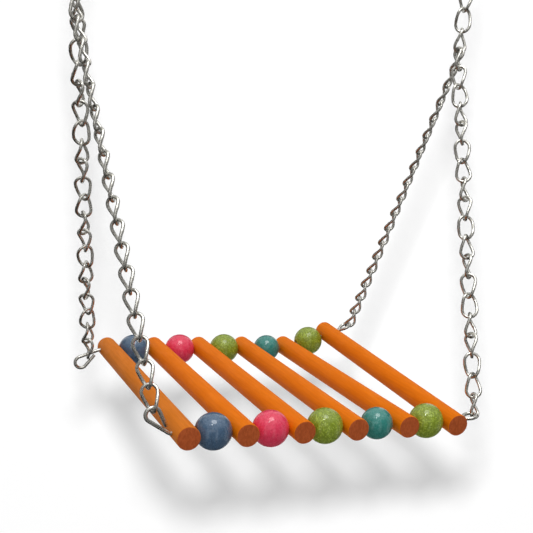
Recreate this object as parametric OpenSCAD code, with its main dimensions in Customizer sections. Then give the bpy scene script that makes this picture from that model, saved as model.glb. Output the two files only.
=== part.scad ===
// Bird swing: six turned dowels and ten beads strung on two bent wires, hung from chains of twisted links.
// Millimetres, +Z up. The origin is midway between the inner tops of the two top links, which it hangs by.
// +X runs along the two wires, and +Y along the dowels, from the front wire to the rear wire.

/* [Dowels] */
// Diameter of each wooden dowel
dowel_diameter = 10; // [6:0.5:16]
// Length of each dowel from end face to end face
dowel_length = 146; // [80:1:220]
// Distance from one dowel's axis to the next one's
dowel_spacing = 25.4; // [18:0.1:40]
// Distance from a dowel's end face to the wire through it
wire_inset = 7.4; // [4:0.1:15]
// Small round on the rim of each end face
dowel_rim_round = 0.4; // [0.1:0.1:1]
// How far the last dowel's rear end is bent up above the others
rear_right_lift = 8; // [0:0.5:12]

/* [Beads] */
// Diameter of the large beads
bead_diameter = 15.8; // [8:0.1:24]
// Diameter of the smaller bead, the fourth from the left on each wire
small_bead_diameter = 14.4; // [8:0.1:24]
// Free play between a bead's flat end and the dowel beside it
bead_end_play = 0.3; // [0.1:0.05:1]
// Radial running clearance between a bead's bore and the wire
bead_bore_clearance = 0.08; // [0.02:0.01:0.1]

/* [Wires] */
// Diameter of the two bent wires
wire_diameter = 1.7; // [1:0.1:3]
// Radial clearance between a wire and the hole through a dowel
dowel_hole_clearance = 0.06; // [0.02:0.01:0.2]
// Gap between the outer dowel and the root of each wire eye
eye_root_gap = 0.9; // [0.5:0.1:3]
// Distance from a left eye's root to the middle of its round tip
left_eye_length = 11; // [6:0.1:16]
// Distance from a right eye's root to the middle of its round tip
right_eye_length = 5.2; // [4.2:0.1:12]
// Radius of an eye's round tip, measured to the middle of the wire
eye_tip_radius = 3; // [1.8:0.1:4]
// Gap between an eye's free end and the wire that it comes back to
eye_mouth_gap = 0.2; // [0.1:0.05:1.5]
// Upward slope of the front left eye
front_left_eye_slope = 48; // [-60:1:60]
// Upward slope of the rear left eye, which hangs down
rear_left_eye_slope = -36; // [-60:1:60]
// Upward slope of the front right eye
front_right_eye_slope = 14; // [-60:1:60]
// Upward slope of the rear right eye
rear_right_eye_slope = 32; // [-60:1:60]
// Place of the rear left chain along its eye, as a share of the eye's length
rear_left_hang_share = 0.55; // [0.4:0.05:0.7]

/* [Chains] */
// Diameter of the chain wire
link_wire_diameter = 1.45; // [1:0.05:2.5]
// Inner length of one link, which is also the longest possible pitch
link_inner_length = 9.8; // [6:0.1:14]
// Overall width of one link, measured where it is widest
link_width = 8.3; // [5:0.1:12]
// Least gap between two links at the place where they hang on each other
link_gap = 0.08; // [0.05:0.01:0.3]
// Corners of the section of the chain wire
link_wire_corners = 6; // [6:1:12]
// Number of links in each single upper chain, with the one that both lower chains hang on
upper_link_count = 4; // [2:1:12]
// Height of the upper chain's lowest hanging point above the plane of the dowels
lower_chain_height = 167; // [90:1:260]
// Distance between the left and right upper chains
hanging_width = 188; // [120:1:260]
// How far the platform hangs to the right of the middle of the two upper chains
platform_shift = 8; // [0:0.5:16]
// Distance between the front and rear chains along the link that both hang on
hanging_side_step = 1.6; // [1.5:0.1:3]
// Extra play between the lower chains and the eyes that they pull on
foot_play = 0.12; // [0:0.02:0.4]
// Extra play between the lower chains and the link that they hang on
fork_play = 0.5; // [0:0.05:0.7]
// Twist between the two round ends of one link
link_twist = 60; // [45:1:75]
// Turn of the front left chain's lowest link, from standing square to its eye
front_left_first_turn = 10; // [-15:1:15]
// Turn of the rear left chain's lowest link, from standing square to its eye
rear_left_first_turn = -20; // [-20:1:15]
// Turn of the front right chain's lowest link, from standing square to its eye
front_right_first_turn = 20; // [-15:1:20]
// Turn of the rear right chain's lowest link, from standing square to its eye
rear_right_first_turn = 6; // [-15:1:15]
// Usual turn from link to link in the rear left and front right chains, which hang wound up
wound_link_turn = 48; // [35:1:55]
// Usual turn from link to link in the front left and rear right chains, which hang plain
plain_link_turn = 3; // [0:1:20]

/* [Quality] */
// Facets of a full turn on the round parts
round_facets = 48; // [24:4:96]

/* [Hidden] */
$fn = round_facets;
dowel_count = 6;
dowel_radius = dowel_diameter / 2;
wire_radius = wire_diameter / 2;
link_wire_radius = link_wire_diameter / 2;
wire_bend_radius = eye_tip_radius;
bend_swell_share = 1.02;
seam_lap_share = 0.12;
bead_flat_angle = 15;
bead_length = dowel_spacing - dowel_diameter - 2 * bead_end_play;
bead_bore_radius = wire_radius + bead_bore_clearance;
wire_row = dowel_length / 2 - wire_inset;

// One link, standing upright: reach is from its middle to the far middle of its wire
link_bend = link_width / 2 - link_wire_radius;
link_reach = link_inner_length / 2 + link_wire_radius;
link_leg = link_reach - link_bend;
link_leg_step = link_leg / 3;
link_pitch = link_inner_length - link_gap;
square_turn = 90;
half_turn = 180;
crossing = link_wire_diameter + link_gap;
eye_crossing = link_wire_radius + wire_radius + link_gap;

// Heights below the origin
top_link_z = -(link_reach - link_wire_radius);
upper_first_z = top_link_z - link_pitch;
upper_last_z = top_link_z - upper_link_count * link_pitch;
fork_pivot_z = upper_last_z - link_reach;
platform_z = fork_pivot_z - lower_chain_height;
fork_rise = link_bend - sqrt(link_bend * link_bend - hanging_side_step * hanging_side_step / 4);

// Turns of the links about their chain. A link's upper end stands link_twist on from its lower end, and
// two links that hang on each other are about square there. The chains therefore wind the other way.
upper_half_turns = floor(((upper_link_count - 1) * (square_turn - link_twist) + square_turn) / half_turn);
fork_turn = upper_half_turns > 0 ? 0 : (square_turn - link_twist) / 2;
upper_gained_turn = square_turn - link_twist - 2 * fork_turn - upper_half_turns * half_turn;
last_turn = fork_turn + square_turn - link_twist;
function gained_turn(first, count, usual) =
    last_turn - first - half_turn * round(((count - 1) * usual + last_turn - first) / half_turn);

// The rear wire's last stretch slopes up to the lifted dowel
lift_slope = atan(rear_right_lift / dowel_spacing);
lift_lean = asin(rear_right_lift / (2 * wire_row));
eye_root_out = dowel_radius + eye_root_gap;
seam_lap = wire_radius * seam_lap_share;

function dowel_x(i) = platform_shift + (i - (dowel_count - 1) / 2) * dowel_spacing;
function unit(v) = v / norm(v);

// Roots of the four eyes, and the bend inside the last dowel but one
left_root_x = dowel_x(0) - eye_root_out;
right_dowel_x = dowel_x(dowel_count - 1);
front_left_root = [left_root_x, -wire_row, platform_z];
front_right_root = [right_dowel_x + eye_root_out, -wire_row, platform_z];
rear_left_root = [left_root_x, wire_row, platform_z];
rear_wire_bend = [dowel_x(dowel_count - 2), wire_row, platform_z];
rear_wire_rise = [right_dowel_x, wire_row, platform_z + rear_right_lift];
rear_right_root = rear_wire_rise + eye_root_out * unit(rear_wire_rise - rear_wire_bend);

// Half the angle between an eye's two legs, and how far along its leg the free end stops
function half_angle(eye) = asin(eye_tip_radius / eye);
function leg_length(eye) = eye * cos(half_angle(eye));
function free_end(eye) =
    (eye_mouth_gap + wire_radius * (1 + cos(2 * half_angle(eye)))) / sin(2 * half_angle(eye));
// An eye's own frame: its length runs out from the root, raised by a slope, and its plane is rolled about it
function eye_frame(root, side, slope, roll) = [
    [side * cos(slope), -side * cos(roll) * sin(slope), side * sin(roll) * sin(slope), root[0]],
    [0, sin(roll), cos(roll), root[1]],
    [sin(slope), cos(roll) * cos(slope), -sin(roll) * cos(slope), root[2]],
    [0, 0, 0, 1]
];
function placed(frame, p) = [for (i = [0 : 2]) [frame[i][0], frame[i][1]] * p + frame[i][3]];
// A point on an eye's first leg, a given way out from the root
function on_first_leg(frame, eye, way) = placed(frame, way * [cos(half_angle(eye)), -sin(half_angle(eye))]);
// The end of an eye's first leg, just inside the round tip
function eye_shoulder(frame, eye) = on_first_leg(frame, eye, leg_length(eye) + seam_lap);

// Bends of a path: the turn at a point, how far the arc starts before it, and the arc's placing
function run_before(path, i) = unit(path[i] - path[i - 1]);
function run_after(path, i) = unit(path[i + 1] - path[i]);
function bend_angle(path, i) = acos(min(1, run_before(path, i) * run_after(path, i)));
function bend_setback(path, i, bend) = bend * tan(bend_angle(path, i) / 2);
function is_bend(path, i) = i > 0 && i < len(path) - 1;
function run_cut(path, i, bend, radius) =
    is_bend(path, i) ? bend_setback(path, i, bend) - radius * seam_lap_share : 0;
function square_to(way) = unit(cross(way, abs(way[2]) < abs(way[1]) ? [0, 0, 1] : [0, 1, 0]));
function bend_axis(path, i) = bend_angle(path, i) > 0
    ? unit(cross(run_before(path, i), run_after(path, i)))
    : square_to(run_before(path, i));
function frame_of_bend(path, i, bend) = let (
    along = run_before(path, i),
    axis = bend_axis(path, i),
    inward = cross(axis, along),
    centre = path[i] - along * bend_setback(path, i, bend) + inward * bend
) [
    [-inward[0], along[0], axis[0], centre[0]],
    [-inward[1], along[1], axis[1], centre[1]],
    [-inward[2], along[2], axis[2], centre[2]],
    [0, 0, 0, 1]
];
function frame_along(start, way, side) = let (third = cross(way, side)) [
    [side[0], third[0], way[0], start[0]],
    [side[1], third[1], way[1], start[1]],
    [side[2], third[2], way[2], start[2]],
    [0, 0, 0, 1]
];

// The four eyes: the left ones stand upright, and the right ones lie flat
front_left_eye = eye_frame(front_left_root, -1, front_left_eye_slope, 0);
rear_left_eye = eye_frame(rear_left_root, -1, rear_left_eye_slope, 180);
front_right_eye = eye_frame(front_right_root, 1, front_right_eye_slope, 90);
rear_right_eye = eye_frame(rear_right_root, 1, rear_right_eye_slope, 90);

// Where each chain's lowest link bears: the middle of the link's wire at its lowest point
front_left_foot = foot(
    eye_top(front_left_root, front_left_eye_slope),
    [1, 0, 0],
    fork_point(-1, -1),
    [1, 0, 0]
);
rear_left_foot = foot(
    on_first_leg(rear_left_eye, left_eye_length, rear_left_hang_share * left_eye_length),
    on_first_leg(rear_left_eye, left_eye_length, 1) - rear_left_root,
    fork_point(-1, 1),
    [1, 0, 0]
);
front_right_foot = foot(
    eye_tip(front_right_root, front_right_eye_slope),
    [0, 1, 0],
    fork_point(1, -1),
    [0, 1, 0]
);
rear_right_foot = foot(
    eye_tip(rear_right_root, rear_right_eye_slope),
    [0, 1, 0],
    fork_point(1, 1),
    [0, 1, 0]
);

// From the middle of an eye's wire, running along the given way, square to it and to the link's lowest wire.
// The link's lowest wire is square to the chain and to the given aside direction.
function foot(on_eye, wire_way, hook, aside) = let (
    rise = unit(hook - on_eye),
    square = unit(cross(wire_way, cross(aside, rise)))
) on_eye - (eye_crossing + foot_play) * square * sign(square * rise);
// The highest point of the upright front left eye
function eye_top(root, slope) =
    root + [-left_eye_length * cos(slope), 0, left_eye_length * sin(slope) + eye_tip_radius];
// The outermost point of a lying eye on the right
function eye_tip(root, slope) = root + (right_eye_length + eye_tip_radius) * [cos(slope), 0, sin(slope)];

// The point on the fork link that a chain hangs on
function fork_point(side, row) = [
    side * hanging_width / 2 + row * cos(fork_turn) * hanging_side_step / 2,
    row * sin(fork_turn) * hanging_side_step / 2,
    fork_pivot_z + fork_rise
];
function chain_direction(foot, hook) = unit(hook - foot);
function chain_span(foot, hook) = norm(hook - foot) + crossing + fork_play - 2 * link_reach;
function chain_count(foot, hook) = 1 + ceil(chain_span(foot, hook) / link_pitch);

// Middle line of a link as [side, height], anticlockwise from the upper right
link_line = concat(
    [for (a = [0 : 45 : 180]) [link_bend * cos(a), link_leg + link_bend * sin(a)]],
    [[-link_bend, link_leg_step], [-link_bend, -link_leg_step]],
    [for (a = [180 : 45 : 360]) [link_bend * cos(a), -link_leg + link_bend * sin(a)]],
    [[link_bend, -link_leg_step], [link_bend, link_leg_step]]
);
link_rings = len(link_line);
// Outward direction in the link's own plane at each of those points
link_outward = concat(
    [for (a = [0 : 45 : 180]) [cos(a), sin(a)]],
    [[-1, 0], [-1, 0]],
    [for (a = [180 : 45 : 360]) [cos(a), sin(a)]],
    [[1, 0], [1, 0]]
);
function twist_at(z) = link_twist * (1 + sin(90 * z / link_reach)) / 2;
function twisted(p, z) = [p[0] * cos(twist_at(z)), p[0] * sin(twist_at(z)), p[1]];
function link_point(i) = twisted(link_line[i % link_rings], link_line[i % link_rings][1]);
function link_tangent(i) = unit(link_point(i + 1) - link_point(i + link_rings - 1));
function link_normal(i) = let (
    out = twisted(link_outward[i], link_line[i][1]),
    along = link_tangent(i)
) unit(out - along * (out * along));
function link_ring(i) = let (n = link_normal(i), m = cross(link_tangent(i), n)) [
    for (k = [0 : link_wire_corners - 1]) let (a = 360 * k / link_wire_corners)
        link_point(i) + link_wire_radius * (cos(a) * n + sin(a) * m)
];
link_points = [for (i = [0 : link_rings - 1]) each link_ring(i)];
link_faces = [
    for (i = [0 : link_rings - 1], k = [0 : link_wire_corners - 1])
        let (
            a = i * link_wire_corners + k,
            b = i * link_wire_corners + (k + 1) % link_wire_corners,
            c = ((i + 1) % link_rings) * link_wire_corners + (k + 1) % link_wire_corners,
            d = ((i + 1) % link_rings) * link_wire_corners + k
        )
        each [[a, c, b], [a, d, c]]
];

wood_orange = [0.86, 0.4, 0.1];
bead_blue = [0.2, 0.3, 0.42];
bead_pink = [0.85, 0.22, 0.36];
bead_green = [0.5, 0.62, 0.16];
bead_teal = [0.16, 0.46, 0.46];
nickel = [0.72, 0.71, 0.69];

// One twisted link, with its lower bend in the XZ plane
module twisted_link() {
    polyhedron(points = link_points, faces = link_faces, convexity = 6);
}

// A straight row of links between the middles of the first and the last one
module link_row(first, last, count, first_turn, gained_turn) {
    way = unit(last - first);
    for (i = [0 : count - 1])
        translate(first + (last - first) * i / max(count - 1, 1))
            rotate([-asin(way[1]), atan2(way[0], way[2]), 0])
                rotate([0, 0, first_turn + gained_turn * i / max(count - 1, 1)])
                    twisted_link();
}

// A lower chain, from the middle of its lowest wire up to the fork link that it hangs on
module lower_chain(foot, hook, first_turn, usual_turn) {
    way = chain_direction(foot, hook);
    count = chain_count(foot, hook);
    first = foot + way * link_reach;
    last = hook + way * (crossing + fork_play - link_reach);
    link_row(first, last, count, first_turn, gained_turn(first_turn, count, usual_turn));
}

module chain_front_left() {
    color(nickel)
        lower_chain(front_left_foot, fork_point(-1, -1), square_turn + front_left_first_turn, plain_link_turn);
}

module chain_front_right() {
    color(nickel)
        lower_chain(front_right_foot, fork_point(1, -1), front_right_first_turn, wound_link_turn);
}

module chain_rear_left() {
    color(nickel)
        lower_chain(rear_left_foot, fork_point(-1, 1), square_turn + rear_left_first_turn, wound_link_turn);
}

module chain_rear_right() {
    color(nickel)
        lower_chain(rear_right_foot, fork_point(1, 1), rear_right_first_turn, plain_link_turn);
}

module top_link(side) {
    color(nickel)
        translate([side * hanging_width / 2, 0, top_link_z])
            twisted_link();
}

// The upper chain's lowest link is the fork link
module upper_chain(side) {
    x = side * hanging_width / 2;
    color(nickel)
        link_row([x, 0, upper_last_z], [x, 0, upper_first_z], upper_link_count, fork_turn, upper_gained_turn);
}

// A round wire bent at the inner points of a path. Each bend is an exact arc, a shade thicker than the
// straight runs, and the runs lap a little way into it, so that no two round faces coincide.
module bent_wire(path, bend, radius) {
    last = len(path) - 1;
    for (i = [1 : last]) {
        way = run_before(path, i);
        start = path[i - 1] + way * run_cut(path, i - 1, bend, radius);
        stop = path[i] - way * run_cut(path, i, bend, radius);
        multmatrix(frame_along(start, way, last > 1 ? bend_axis(path, max(i - 1, 1)) : square_to(way)))
            cylinder(r = radius, h = norm(stop - start));
    }
    for (i = [1 : 1 : last - 1])
        if (bend_angle(path, i) > 0)
            multmatrix(frame_of_bend(path, i, bend))
                wire_arc(bend, bend_angle(path, i), radius);
}

module wire_arc(bend, angle, radius) {
    rotate_extrude(angle = angle)
        translate([bend, 0])
            circle(r = radius * bend_swell_share);
}

// The round tip of an eye and its free leg, which stops just short of the wire at the root
module eye_loop(frame, eye) {
    turn = 180 + 2 * half_angle(eye);
    multmatrix(frame) {
        translate([eye, 0, 0])
            rotate([0, 0, -turn / 2])
                wire_arc(eye_tip_radius, turn, wire_radius);
        rotate([0, 0, half_angle(eye)])
            translate([free_end(eye), 0, 0])
                rotate([0, 90, 0])
                    cylinder(r = wire_radius, h = leg_length(eye) + seam_lap - free_end(eye));
    }
}

// The front wire's and the rear wire's straight parts
front_run = [front_left_root, front_right_root];
rear_run = [rear_left_root, rear_wire_bend, rear_right_root];

// The cutters of the holes in the dowels follow the wires' straight parts
module wire_holes() {
    bent_wire(front_run, wire_bend_radius, wire_radius + dowel_hole_clearance);
    bent_wire(rear_run, wire_bend_radius, wire_radius + dowel_hole_clearance);
}

module wire_front() {
    left_end = eye_shoulder(front_left_eye, left_eye_length);
    right_end = eye_shoulder(front_right_eye, right_eye_length);
    color(nickel) {
        bent_wire(concat([left_end], front_run, [right_end]), wire_bend_radius, wire_radius);
        eye_loop(front_left_eye, left_eye_length);
        eye_loop(front_right_eye, right_eye_length);
    }
}

module wire_rear() {
    left_end = eye_shoulder(rear_left_eye, left_eye_length);
    right_end = eye_shoulder(rear_right_eye, right_eye_length);
    color(nickel) {
        bent_wire(concat([left_end], rear_run, [right_end]), wire_bend_radius, wire_radius);
        eye_loop(rear_left_eye, left_eye_length);
        eye_loop(rear_right_eye, right_eye_length);
    }
}

// A dowel lying along Y with its middle at the origin
module plain_dowel() {
    rotate([90, 0, 0])
        rotate_extrude()
            polygon([
                [0, -dowel_length / 2],
                [dowel_radius - dowel_rim_round, -dowel_length / 2],
                [dowel_radius, -dowel_length / 2 + dowel_rim_round],
                [dowel_radius, dowel_length / 2 - dowel_rim_round],
                [dowel_radius - dowel_rim_round, dowel_length / 2],
                [0, dowel_length / 2]
            ]);
}

module dowel(number) {
    last = number == dowel_count;
    color(wood_orange)
        difference() {
            translate([dowel_x(number - 1), -wire_row, platform_z])
                rotate([last ? lift_lean : 0, 0, 0])
                    translate([0, wire_row, 0])
                        plain_dowel();
            wire_holes();
        }
}

// A bead on the X axis: a ball with two flat ends, bored through
module plain_bead(diameter) {
    bead_radius = diameter / 2;
    half = min(bead_length / 2, bead_radius * cos(bead_flat_angle));
    difference() {
        rotate([0, 90, 0])
            intersection() {
                sphere(r = bead_radius);
                cylinder(r = bead_radius, h = 2 * half, center = true);
            }
        rotate([0, 90, 0])
            cylinder(r = bead_bore_radius, h = 2 * bead_radius, center = true);
    }
}

module front_bead(number, diameter, tint) {
    color(tint)
        translate([(dowel_x(number - 1) + dowel_x(number)) / 2, -wire_row, platform_z])
            plain_bead(diameter);
}

// The last rear bead rides on the wire's sloping stretch
module rear_bead(number, diameter, tint) {
    last = number == dowel_count - 1;
    lift = last ? rear_right_lift / 2 : 0;
    color(tint)
        translate([(dowel_x(number - 1) + dowel_x(number)) / 2, wire_row, platform_z + lift])
            rotate([0, last ? -lift_slope : 0, 0])
                plain_bead(diameter);
}

top_link(-1);  // top_link_left
top_link(1);  // top_link_right
upper_chain(-1);  // upper_chain_left
upper_chain(1);  // upper_chain_right
chain_front_left();
chain_front_right();
chain_rear_left();
chain_rear_right();
wire_front();
wire_rear();
dowel(1);  // dowel_1
dowel(2);  // dowel_2
dowel(3);  // dowel_3
dowel(4);  // dowel_4
dowel(5);  // dowel_5
dowel(6);  // dowel_6
front_bead(1, bead_diameter, bead_blue);  // bead_front_1
front_bead(2, bead_diameter, bead_pink);  // bead_front_2
front_bead(3, bead_diameter, bead_green);  // bead_front_3
front_bead(4, small_bead_diameter, bead_teal);  // bead_front_4
front_bead(5, bead_diameter, bead_green);  // bead_front_5
rear_bead(1, bead_diameter, bead_blue);  // bead_rear_1
rear_bead(2, bead_diameter, bead_pink);  // bead_rear_2
rear_bead(3, bead_diameter, bead_green);  // bead_rear_3
rear_bead(4, small_bead_diameter, bead_teal);  // bead_rear_4
rear_bead(5, bead_diameter, bead_green);  // bead_rear_5
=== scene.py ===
"""Hanging bird swing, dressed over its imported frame.

Six dyed dowels and ten lacquered wooden beads sit on two bent wires. Four
twisted-link chains hold the wires' eyes and meet on the lowest links of two
upper chains. The frame gives every place and every joint, and this file gives
the smooth forms, the finishes, the studio and the camera.
"""

import logging
import math
from dataclasses import dataclass, field
from enum import Enum

import bpy
import numpy as np
from mathutils import Matrix, Quaternion, Vector

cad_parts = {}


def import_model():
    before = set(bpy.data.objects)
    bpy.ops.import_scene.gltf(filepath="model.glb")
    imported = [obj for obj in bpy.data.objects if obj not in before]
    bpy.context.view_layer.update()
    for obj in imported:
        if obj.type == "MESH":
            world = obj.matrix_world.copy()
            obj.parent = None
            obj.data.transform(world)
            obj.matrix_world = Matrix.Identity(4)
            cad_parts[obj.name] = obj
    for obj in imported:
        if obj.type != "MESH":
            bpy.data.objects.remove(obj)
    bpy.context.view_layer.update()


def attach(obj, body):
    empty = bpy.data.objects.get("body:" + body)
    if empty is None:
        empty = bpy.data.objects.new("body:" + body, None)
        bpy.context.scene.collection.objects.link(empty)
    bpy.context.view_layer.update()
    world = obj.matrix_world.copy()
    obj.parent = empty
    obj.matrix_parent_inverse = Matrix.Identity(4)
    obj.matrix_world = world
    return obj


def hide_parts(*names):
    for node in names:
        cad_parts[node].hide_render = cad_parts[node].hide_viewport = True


LOG = logging.getLogger("bird_swing")
MM = 0.001

Triple = tuple[float, float, float]
Face = tuple[int, ...]
Mesh = tuple[np.ndarray, list[Face]]
Socket = bpy.types.NodeSocket

# A turn at a path's corner, in radians, below which the corner needs no arc
LEAST_TURN = 1e-4
# Two points of a path that are nearer than this, in millimetres, are one point
LEAST_STEP = 1e-6
# A softly broken cut end of a wire: how far in and how wide each ring is, in wire radii
CUT_END = ((0.0, 0.72), (0.1, 0.92), (0.3, 1.0))
# A way that no wire starts along, from which the first ring is set out
ASIDE = (0.3, 0.2, 0.9)
# Sockets of a Mix node that mixes two colours
MIX_SHARE, MIX_FIRST, MIX_SECOND, MIX_RESULT = 0, 6, 7, 2


class Side(Enum):
    """Left or right end of the platform, along X."""

    LEFT = -1
    RIGHT = 1


class Row(Enum):
    """Front or rear wire, along Y."""

    FRONT = -1
    REAR = 1


class Slot(Enum):
    """The record's material slots."""

    DOWEL = "dowel_wood"
    BLUE = "bead_blue"
    PINK = "bead_pink"
    GREEN = "bead_green"
    TEAL = "bead_teal"
    CHAIN = "chain_nickel"
    WIRE = "wire_nickel"


# Geometry of the meshes


def unit(v: np.ndarray) -> np.ndarray:
    """Returns v at length one."""
    return v / np.linalg.norm(v)


def vec(*values: float) -> np.ndarray:
    """Returns the values as an array of floats."""
    return np.array(values, float)


def round_corners(path: list[np.ndarray], radius: float, steps: int = 10) -> list[np.ndarray]:
    """Rounds the inner corners of a path to arcs.

    Args:
        path: Corner points, two or three numbers each.
        radius: Radius of each arc.
        steps: Spans of one arc.

    Returns:
        The points of the rounded path, with both end points.
    """
    out = [path[0]]
    for before, corner, after in zip(path, path[1:], path[2:]):
        a, b = unit(corner - before), unit(after - corner)
        turn = math.acos(max(-1.0, min(1.0, float(a @ b))))
        if turn < LEAST_TURN:
            out.append(corner)
            continue
        back = radius * math.tan(turn / 2)
        inward = unit(b - a)
        centre = corner + inward * radius / math.cos(turn / 2)
        start = corner - a * back - centre
        square = a * radius
        for i in range(steps + 1):
            w = turn * i / steps
            out.append(centre + start * math.cos(w) + square * math.sin(w))
    out.append(path[-1])
    return out


def new_object(name: str, data: bpy.types.ID) -> bpy.types.Object:
    """Makes an object and links it to the scene.

    Args:
        name: Name of the object.
        data: Its mesh, lamp or camera data.

    Returns:
        The object.
    """
    made = bpy.data.objects.new(name, data)
    bpy.context.scene.collection.objects.link(made)
    return made


@dataclass
class Shell:
    """Points and faces of one piece while it is being built, in millimetres."""

    points: list[np.ndarray] = field(default_factory=list)
    faces: list[Face] = field(default_factory=list)

    def add(self, points: np.ndarray, faces: list[Face]) -> None:
        """Adds a part with its own face numbers.

        Args:
            points: Its points, one in a row.
            faces: Its faces, by the numbers of these points.
        """
        start = sum(len(p) for p in self.points)
        self.points.append(np.asarray(points, float))
        self.faces.extend(tuple(start + i for i in f) for f in faces)

    def piece(self, name: str, sharp_deg: float = 40.0) -> bpy.types.Object:
        """Makes the Blender object.

        Args:
            name: Name of the piece.
            sharp_deg: Edges that turn by more than this stay sharp.

        Returns:
            A smooth-shaded mesh object in metres, linked to the scene.
        """
        mesh = bpy.data.meshes.new(name)
        mesh.from_pydata((np.concatenate(self.points) * MM).tolist(), [], self.faces)
        mesh.validate()
        mesh.shade_smooth()
        mesh.set_sharp_from_angle(angle=math.radians(sharp_deg))
        return new_object(name, mesh)


def tube_faces(rings: int, sides: int, closed: bool) -> list[Face]:
    """Joins consecutive rings of points by faces.

    Args:
        rings: Number of rings.
        sides: Points in each ring.
        closed: Whether the last ring joins the first one. If not, both ends get a flat face.

    Returns:
        The faces.
    """
    faces: list[Face] = []
    for i in range(rings if closed else rings - 1):
        here, there = i * sides, (i + 1) % rings * sides
        for k in range(sides):
            onward = (k + 1) % sides
            faces.append((here + k, here + onward, there + onward, there + k))
    if not closed:
        faces.append(tuple(reversed(range(sides))))
        faces.append(tuple((rings - 1) * sides + k for k in range(sides)))
    return faces


def swept_wire(path: list[np.ndarray], radius: float, sides: int) -> Mesh:
    """Sweeps a round wire along an open path, with softly broken cut ends.

    Args:
        path: Middle line of the wire.
        radius: Radius of the wire.
        sides: Points round the wire.

    Returns:
        The points and the faces.
    """
    line = np.array(path)
    spans = np.diff(line, axis=0)
    line = line[np.r_[True, np.linalg.norm(spans, axis=1) > LEAST_STEP]]
    ways = np.array([unit(s) for s in np.diff(line, axis=0)])
    tangents = np.array([ways[0], *(unit(a + b) for a, b in zip(ways, ways[1:])), ways[-1]])
    normal = unit(np.cross(tangents[0], vec(*ASIDE)))
    angles = np.linspace(0, 2 * math.pi, sides, endpoint=False)
    rings = []
    for i, (point, along) in enumerate(zip(line, tangents)):
        normal = unit(normal - along * (normal @ along))
        other = np.cross(along, normal)
        circle = radius * (np.outer(np.cos(angles), normal) + np.outer(np.sin(angles), other))
        if i == 0:
            rings += [point + along * radius * way + circle * wide for way, wide in CUT_END]
        elif i == len(line) - 1:
            rings += [point - along * radius * way + circle * wide for way, wide in reversed(CUT_END)]
        else:
            rings.append(point + circle)
    return np.concatenate(rings), tube_faces(len(rings), sides, closed=False)


def turned(profile: list[np.ndarray], sides: int, closed: bool) -> Mesh:
    """Turns a profile about the X axis, as on a lathe.

    Args:
        profile: Points of [way along X, radius].
        sides: Points round the axis.
        closed: Whether the profile's last point joins its first one, as in a bored piece.

    Returns:
        The points and the faces. An open profile is closed with flat ends.
    """
    angles = np.linspace(0, 2 * math.pi, sides, endpoint=False)
    rings = [
        np.column_stack([np.full(sides, p[0]), p[1] * np.cos(angles), p[1] * np.sin(angles)])
        for p in profile
    ]
    faces = tube_faces(len(rings), sides, closed)
    return np.concatenate(rings), [tuple(reversed(f)) for f in faces]


def cut_with(piece: bpy.types.Object, cutters: list[bpy.types.Object], sharp_deg: float) -> None:
    """Cuts the cutters out of a piece and removes them.

    Args:
        piece: The piece to cut.
        cutters: The objects to cut with.
        sharp_deg: Edges that turn by more than this stay sharp.
    """
    for cutter in cutters:
        step = piece.modifiers.new("bore", "BOOLEAN")
        step.operation = "DIFFERENCE"
        step.solver = "EXACT"
        step.object = cutter
    bpy.context.view_layer.update()
    graph = bpy.context.evaluated_depsgraph_get()
    mesh = bpy.data.meshes.new_from_object(piece.evaluated_get(graph))
    piece.modifiers.clear()
    mesh.shade_smooth()
    mesh.set_sharp_from_angle(angle=math.radians(sharp_deg))
    piece.data = mesh
    for cutter in cutters:
        bpy.data.objects.remove(cutter)


# Plan of the swing


@dataclass(frozen=True)
class Eye:
    """One bent eye at the end of a wire."""

    root: np.ndarray
    side: Side
    length: float
    slope_deg: float
    roll_deg: float
    tip_radius: float
    mouth_gap: float
    wire_radius: float

    @property
    def half(self) -> float:
        """Half the angle between the eye's two legs."""
        return math.asin(self.tip_radius / self.length)

    @property
    def free_end(self) -> float:
        """How far along its leg the free end stops."""
        twice = 2 * self.half
        return (self.mouth_gap + self.wire_radius * (1 + math.cos(twice))) / math.sin(twice)

    def at(self, out: float, up: float) -> np.ndarray:
        """Returns a point in the eye's own plane.

        Args:
            out: Way out from the root, along the middle of the eye.
            up: Way up from there.

        Returns:
            The point.
        """
        s, r, d = math.radians(self.slope_deg), math.radians(self.roll_deg), self.side.value
        first = vec(d * math.cos(s), 0, math.sin(s))
        second = vec(-d * math.cos(r) * math.sin(s), math.sin(r), math.cos(r) * math.cos(s))
        return self.root + out * first + up * second

    def on_first_leg(self, way: float) -> np.ndarray:
        """Returns the point a given way along the first leg."""
        return self.at(way * math.cos(self.half), -way * math.sin(self.half))

    def shoulder(self) -> np.ndarray:
        """Returns the point where the first leg meets the round tip."""
        return self.on_first_leg(self.length * math.cos(self.half))

    def loop(self, steps: int = 40) -> list[np.ndarray]:
        """Bends the round tip and the free leg, from the shoulder on.

        Args:
            steps: Spans of the round tip.

        Returns:
            The points of the wire's middle line.
        """
        turn = math.pi + 2 * self.half
        around = [-turn / 2 + turn * i / steps for i in range(steps + 1)]
        radius = self.tip_radius
        tip = [self.at(self.length + radius * math.cos(a), radius * math.sin(a)) for a in around]
        end = self.free_end
        return tip + [self.at(end * math.cos(self.half), end * math.sin(self.half))]


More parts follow.
